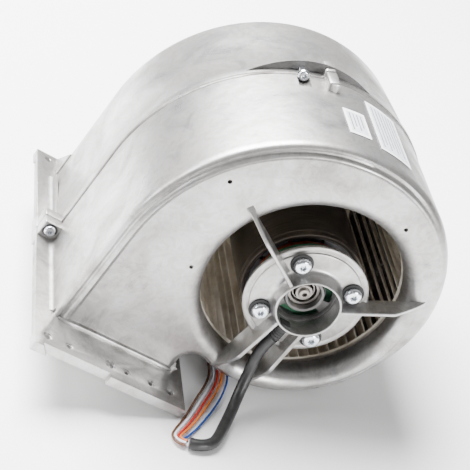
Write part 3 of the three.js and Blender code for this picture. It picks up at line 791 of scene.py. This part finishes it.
def pan_screw(name, at, seat, head, height, shank, depth, node):
    """A pan-head screw with a star recess and threads on its shank."""
    profile = [(0, seat - depth), (shank - 0.5, seat - depth), (shank, seat - depth + 0.6)]
    turns = int((depth - 1.6) / 0.8)
    for i in range(turns):
        low = seat - depth + 0.7 + 0.8 * i
        profile += [(shank, low + 0.1), (shank - 0.35, low + 0.4)]
    profile += [(shank, seat - 0.4), (shank, seat), (head * 0.95, seat), (head, seat + height * 0.1)]
    for i in range(9):
        angle = math.pi / 2 * i / 8
        r = head * (0.62 + 0.38 * math.cos(angle))
        profile.append((r, seat + height * (0.3 + 0.7 * math.sin(angle) ** 0.9)))
    profile.append((0, seat + height))
    screw = turned(name, profile, 40, at)
    tidy = bmesh.new()
    tidy.from_mesh(screw.data)
    bmesh.ops.remove_doubles(tidy, verts=tidy.verts, dist=1e-4)
    tidy.to_mesh(screw.data)
    tidy.free()
    boolean(screw, [star_recess(at, head * 0.46, seat + height * 0.35, seat + height + 3)])
    finish(screw, ZINC, "housing", [node], 28)


def grommet(at, node, number):
    profile = [(3.1, -2.7), (5, -2.7), (5.2, -1), (5.2, 1.7), (7.4, 1.7), (7.9, 2.1), (7.9, 2.6),
               (7.4, 3), (6.4, 3.1), (3.4, 3.1), (3.1, 2.8)]
    finish(turned(f"isolator_{number}", profile, 48, at), RUBBER, "housing", [node])


SEAM_SCREWS = [
    ((92, -143.4), -87 - 1.4, 15),
    (polar(58.6, 120.8), -92.5, 11),
    (polar(185, 95.2), -89, 15),
    ((89.5, -28.5), -89, 15),
]


def screws():
    for i, (at, seat, depth) in enumerate(SEAM_SCREWS):
        pan_screw(f"seam_screw_{i + 1}", at, seat + 0.3, 4.3, 3.4, 2, depth, f"housing_screw_{i + 1}")
    for i, at in enumerate(around(4, SCREW_START, SCREW_CIRCLE)):
        pan_screw(f"hub_screw_{i + 1}", at, 3.3, 6, 4.1, 2.6, 10.6, f"motor_screw_{i + 1}")
        grommet(at, f"motor_grommet_{i + 1}", i + 1)


# ---- motor ---------------------------------------------------------------------------------
WINDOWS = ((250, 96), (350, 44), (150, 44))  # middle and span, degrees
RIVET_CIRCLE = 26


def arc_band(middle, span, r0, r1):
    angles = [middle - span / 2 + span * i / 16 for i in range(17)]
    return [polar(a, r1) for a in angles] + [polar(a, r0) for a in reversed(angles)]


def motor_plate():
    """The plate behind the hub disc: bearing tube, ribs between windows, screw bosses."""
    profile = [
        (11.4, -66), (13.2, -66), (13.5, -65.6), (13.5, -8.2), (20, -8.2), (20.5, -8), (38, -8),
        (38, -3.9), (37.6, -3.3), (20.8, -3.3), (20, -4.4), (19.8, -6), (14.2, -6), (13.7, -4.6),
        (13.2, -4), (12, -4), (11.5, -4.4), (11.4, -8),
    ]
    plate = turned("plate", profile, 96)
    cutters = [prism("window", arc_band(a, span, 14.4, 19.6), -12, 0) for a, span in WINDOWS]
    cutters += [rod("hole", 2.9, -12, 0, at, 24) for at in around(4, SCREW_START, SCREW_CIRCLE)]
    boolean(plate, cutters)
    bevelled(plate, 0.3, 2, 50)
    # The plate's darker cast aluminium is painted shade for the dim inside of the eye.
    finish(plate, CAST_INSIDE_SHADE, "housing", ["motor_flange"], 30)


def shaft():
    profile = [(0, -84), (3.5, -84), (4, -83.5), (4, -5.6), (3.6, -5.1), (2.6, -5), (0, -5)]
    rod_piece = turned("motor_shaft", profile, 48)
    boolean(rod_piece, [star_recess((0, 0), 2, -8, -4)])
    finish(rod_piece, STEEL_SHADE_DARKENED, "rotor", ["shaft"], 30)


def rotor_cup():
    """Deep-drawn cup: rolled front rim, shallow pressed ring at the back."""
    profile = [
        (4.3, -80), (16, -80), (17, -79.4), (30, -79.4), (31, -80), (40.4, -80), (42, -79.2),
        (43, -77.8), (43, -20.5), (42.7, -20), (42.7, -18.4), (43, -18), (43, -14.8), (42.5, -14),
        (41.2, -14), (40.6, -14.6), (40.6, -77), (9, -77), (9, -71), (4.3, -71),
    ]
    cup = turned("rotor_can", profile, 128)
    boolean(cup, [rod("hole", 2, -84, -74, at, 20) for at in around(4, 0, RIVET_CIRCLE)])
    finish(cup, ROTOR_STEEL, "rotor", ["rotor_cup"], 30)


# ---- wheel ---------------------------------------------------------------------------------
BLADES = 60
BLADE_LEAN, BLADE_HALF = 7, 0.38  # degrees, mm
BLADE_INNER, WHEEL_RADIUS = 69.8, 80
BLADE_W = (-165, -24)


def blade_outline(degrees, steps=6):
    """A thin curved strip that leans into the turn towards the rim."""
    sides = [[], []]
    for i in range(steps + 1):
        part = i / steps
        radius = BLADE_INNER + (WHEEL_RADIUS - 0.1 - BLADE_INNER) * part
        middle = degrees + BLADE_LEAN * part ** 1.7
        half = math.degrees(BLADE_HALF / radius)
        sides[0].append(polar(middle - half, radius))
        sides[1].append(polar(middle + half, radius))
    return sides[0] + sides[1][::-1]


def wheel():
    blades = [prism("blade", blade_outline(i * 360 / BLADES), *BLADE_W) for i in range(BLADES)]
    for low, high in ((-166.2, -164.7), (-24.3, -22.8)):
        blades.append(turned("rim", [
            (70.2, low), (79.8, low), (79.8, low + 0.5), (79.2, high), (70.8, high), (70.2, low + 0.6),
        ], 144))
    finish(joined(blades, "blade_strip"), WHEEL, "rotor", ["wheel_blades"], 25)
    ring = turned("front_hoop", [
        (80.4, -29.8), (81.5, -29.8), (81.7, -29.2), (81.2, -28.4), (81.2, -24.4), (81.7, -23.6),
        (81.5, -22.9), (80.4, -22.9),
    ], 144)
    finish(ring, WHEEL, "rotor", ["wheel_ring"])
    hub = turned("hub_pressing", [
        (9, -81.8), (38.6, -81.8), (40.8, -83), (64, -166.6), (66, -168), (80, -168), (80, -167),
        (66.8, -166.9), (65.4, -165.8), (42.2, -82.6), (41.4, -80.7), (39.8, -80.3), (9, -80.3),
    ], 128)
    boolean(hub, [rod("hole", 2, -90, -75, at, 20) for at in around(4, 0, RIVET_CIRCLE)])
    finish(hub, WHEEL, "rotor", ["wheel_hub"], 30)


# ---- the lead ------------------------------------------------------------------------------
# Routes as in the CAD source: fan axis at x = 0, inlet face at y = 0, floor at z = 0, in metres.
# The sleeve's last three points are up to 0.4 mm nearer the fan than there, so that its round
# section stays inside the CAD's box.
SLEEVE_DIAMETER, WIRE_DIAMETER = 0.008, 0.0016
SLEEVE_ROUTE = [
    (-0.015, -0.0064, 0.0564), (-0.0174, -0.0064, 0.0524), (-0.0204, -0.007, 0.0464),
    (-0.0226, -0.0081, 0.0394), (-0.0246, -0.0104, 0.0294), (-0.0269, -0.0142, 0.0204),
    (-0.0297, -0.0198, 0.0129), (-0.033, -0.0276, 0.0076), (-0.037, -0.0368, 0.0051),
    (-0.041, -0.046, 0.0044), (-0.0455, -0.0555, 0.0043), (-0.0488, -0.0602, 0.0043),
    (-0.0541, -0.0635, 0.0043), (-0.0598, -0.0645, 0.0043), (-0.0654, -0.0638, 0.0043),
]
WIRE_ROUTE = [
    (-0.0673, -0.0633, 0.0034), (-0.0696, -0.0618, 0.003), (-0.0714, -0.059, 0.0024),
    (-0.0716, -0.0558, 0.0018), (-0.0693, -0.0516, 0.0013), (-0.0636, -0.0434, 0.001),
    (-0.0566, -0.0316, 0.001), (-0.0486, -0.0164, 0.001), (-0.0418, -0.002, 0.001),
    (-0.0374, 0.012, 0.001), (-0.0368, 0.03, 0.001), (-0.0382, 0.06, 0.001),
    (-0.0394, 0.1, 0.001), (-0.0406, 0.14, 0.001), (-0.041, 0.172, 0.001),
    (-0.041, 0.196, 0.0016), (-0.041, 0.2095, 0.0044),
]
WIRE_FAN = (-0.0074, -0.0042, -0.0011, 0.0019, 0.007)
WIRE_ROW, WIRE_BUNCH, WIRE_LAYER = 0.003, 0.00095, 0.00165
FANNED, IN_ROW = 7, 12


def smooth_line(route, per_span=5):
    """Points along a centripetal curve through the route, in the row frame."""
    points = [Vector(p) for p in route]
    ends = [2 * points[0] - points[1], *points, 2 * points[-1] - points[-2]]
    line = []
    for i in range(len(points) - 1):
        a, b, c, d = ends[i:i + 4]
        knots = [0.0]
        for first, second in ((a, b), (b, c), (c, d)):
            knots.append(knots[-1] + max(1e-6, (second - first).length) ** 0.5)
        for k in range(per_span):
            t = knots[1] + (knots[2] - knots[1]) * k / per_span
            ab = a.lerp(b, (t - knots[0]) / (knots[1] - knots[0]))
            bc = b.lerp(c, (t - knots[1]) / (knots[2] - knots[1]))
            cd = c.lerp(d, (t - knots[2]) / (knots[3] - knots[2]))
            abc = ab.lerp(bc, (t - knots[0]) / (knots[2] - knots[0]))
            bcd = bc.lerp(cd, (t - knots[1]) / (knots[3] - knots[1]))
            line.append(abc.lerp(bcd, (t - knots[1]) / (knots[2] - knots[1])))
    line.append(points[-1])
    return [p + Vector((AXIS_X, FACE_Y, 0)) for p in line]


def cord_curve(name, line, diameter, material):
    data = bpy.data.curves.new(name, "CURVE")
    data.dimensions = "3D"
    data.bevel_depth = diameter / 2
    data.bevel_resolution = 6
    data.use_fill_caps = True
    spline = data.splines.new("POLY")
    spline.points.add(len(line) - 1)
    for point, at in zip(spline.points, line):
        point.co = (*at, 1)
    spline.use_smooth = True
    data.materials.append(material)
    obj = bpy.data.objects.new(name, data)
    bpy.context.scene.collection.objects.link(obj)
    return obj


def wire_route(number):
    """A wire's own route: bunched in two layers, fanned out, then in an even row."""
    points = []
    for i, (x, y, z) in enumerate(WIRE_ROUTE):
        bunched, even = (number - 3) * WIRE_BUNCH, (number - 3) * WIRE_ROW
        spread = WIRE_FAN[number - 1]
        if i < FANNED:
            side = bunched + (spread - bunched) * i / FANNED
        else:
            side = spread + (even - spread) * min(1, (i - FANNED) / (IN_ROW - FANNED))
        lift = 0 if number % 2 else WIRE_LAYER * max(0, 1 - i / FANNED)
        before, after = WIRE_ROUTE[max(0, i - 1)], WIRE_ROUTE[min(len(WIRE_ROUTE) - 1, i + 1)]
        dx, dy = after[0] - before[0], after[1] - before[1]
        run = math.hypot(dx, dy)
        points.append((x + side * dy / run, y - side * dx / run, z + lift))
    return points


def lead_gland():
    """Moulded bush through the ring's wall, with a tapered, ribbed boot."""
    bush = bevelled(block("bush", 19.4, 24, LEAD_V - 4.3, LEAD_V + 4.3, 2.3, 9.9), 0.8, 3)
    profile = [(0, 23.4), (4.2, 23.4)]
    for i in range(4):
        at = 24.4 + 2 * i
        profile += [(4.3, at), (4.3, at + 0.9), (3.8, at + 1.1), (3.8, at + 1.8)]
    profile += [(4.35, 32.8), (4.1, 33.1), (0, 33.1)]
    boot = turned("boot", profile, 40)
    boot.data.transform(Matrix.Translation((0, LEAD_V, LEAD_W)) @ Matrix.Rotation(math.pi / 2, 4, "Y"))
    piece = joined([bush, boot], "lead_bush")
    return finish(piece, RUBBER, "housing", ["cable_gland"])


def plug():
    """Five-way crimp housing with a latch and wire entries."""
    box = block("plug", -8, 8, -11, 11, 0.1, 9)
    wells = [block("well", x * 3 - 1, x * 3 + 1, -12, -7, 3.4, 5.6) for x in range(-2, 3)]
    mouth = block("mouth", -6.8, 6.8, 4, 12, 1.6, 7.4)
    boolean(box, [*wells, mouth])
    bevelled(box, 0.35, 2, 40)
    parts = [box, bevelled(block("latch", -2, 2, -6, 8, 8.4, 9), 0.25, 2)]
    piece = joined(parts, "wire_plug")
    piece.data.transform(Matrix.Translation((-41, 221.2, 0)))
    piece.data.transform(Matrix.Scale(MM, 4))
    piece.data.transform(Matrix.Translation((AXIS_X, FACE_Y, 0)))
    return finish(piece, PALE_PLASTIC, "housing", ["connector"], local=False)


def lead():
    gland, end = lead_gland(), plug()
    line = smooth_line(SLEEVE_ROUTE)
    sleeve = cord_curve("lead_sleeve", line, SLEEVE_DIAMETER, SLEEVE)
    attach(sleeve, "housing")
    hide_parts("cable_sleeve")
    for number, look in enumerate(WIRE_LOOKS, 1):
        line = smooth_line(wire_route(number))
        wire = cord_curve(f"lead_wire_{number}", line, WIRE_DIAMETER, look)
        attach(wire, "housing")
        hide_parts(f"wire_{number}")


# ---- labels --------------------------------------------------------------------------------
def wall_patch(name, a0, a1, w0, w1, lift, thick=0.12):
    """A thin sheet on the scroll's wall between two angles."""
    outer, inner = [], []
    for i in range(13):
        a = a0 + (a1 - a0) * i / 12
        outer.append(polar(a, scroll_radius(a) + lift + thick))
        inner.append(polar(a, scroll_radius(a) + lift))
    return prism(name, outer + inner[::-1], w0, w1)


def label(name, node, a0, a1, w0, w1, marks):
    """Blank film with a grey field and plain bars in place of any print."""
    film = wall_patch(name, a0, a1, w0, w1, 0.45)
    finish(film, LABEL, "housing", [node])
    edge_a, edge_w = 0.9, 3
    field = wall_patch(f"{name}_field", a0 + edge_a, a1 - edge_a, w0 + edge_w, w1 - edge_w, 0.58)
    finish(field, LABEL_FIELD, "housing")
    bars = []
    for i in range(marks):
        a = a0 + edge_a + (a1 - a0 - 2 * edge_a) * (i + 0.6) / (marks + 0.6)
        far = w1 - edge_w - 2 - (5 * i) % 9
        bars.append(wall_patch("bar", a, a + 0.42, w0 + edge_w + 2, far, 0.71))
    finish(joined(bars, f"{name}_bars"), LABEL_MARK, "housing")


# ---- carried-over pieces -------------------------------------------------------------------
CARRIED = [
    (CORE, ["stator_core"]),
    (COPPER, ["stator_winding"]),
    (PALE_PLASTIC, ["insulator_front", "insulator_rear"]),
    (BOARD, ["control_board"]),
    (BLACK_PLASTIC, ["driver_chip", "board_capacitor"]),
    (MAGNET, ["magnet_ring"]),
    (STEEL_SHADE_DARKENED, ["spring_washer", "shaft_clip"]),
    (STEEL_SHADE_DARKENED, [f"bearing_front_{part}" for part in ("outer", "balls", "inner")]),
    (STEEL_SHADE_DARKENED, [f"bearing_rear_{part}" for part in ("outer", "balls", "inner")]),
    (ZINC, ["balance_clip_1", "balance_clip_2", *(f"wheel_rivet_{i}" for i in range(1, 5))]),
]


def dress_carried():
    for look, names in CARRIED:
        for name in names:
            materials = nodes[name].data.materials
            materials.clear()
            materials.append(look)


lead()
housing_front()
housing_rear()
ear_hollow_painted_shade()
screws()
motor_plate()
shaft()
rotor_cup()
wheel()
label("rating_film", "label_large", 80.5, 94.5, -84, -22, 7)
label("small_film", "label_small", 69.3, 77.4, -59, -27.5, 4)
dress_carried()


# ---- floor and light -----------------------------------------------------------------------
def floor():
    bpy.ops.mesh.primitive_plane_add(size=12, location=(0, 0, -0.0005))
    plane = bpy.context.object
    plane.name = "floor"
    m = Nodes("floor_paint")
    m.set(Base_Color=(0.95, 0.95, 0.95, 1), Roughness=0.9)
    plane.data.materials.append(m.material)


def area_light(name, at, aim, size, power):
    data = bpy.data.lights.new(name, "AREA")
    data.shape = "DISK"
    data.size = size
    data.energy = power
    lamp = bpy.data.objects.new(name, data)
    bpy.context.scene.collection.objects.link(lamp)
    lamp.location = at
    lamp.rotation_euler = (Vector(aim) - Vector(at)).to_track_quat("-Z", "Y").to_euler()


def world_light(strength):
    world = bpy.data.worlds.new("studio")
    world.use_nodes = True
    background = world.node_tree.nodes["Background"]
    background.inputs["Color"].default_value = (1, 1, 1, 1)
    background.inputs["Strength"].default_value = strength
    bpy.context.scene.world = world


floor()
world_light(0.3)
area_light("overhead", (-0.45, 0.75, 1.6), (0, 0, 0.1), 1.4, 250)
area_light("left", (-1.5, 0.1, 0.9), (0, 0, 0.1), 0.9, 30)
area_light("front", (0.75, -1.5, 0.45), (0.03, -0.05, 0.08), 0.4, 24)
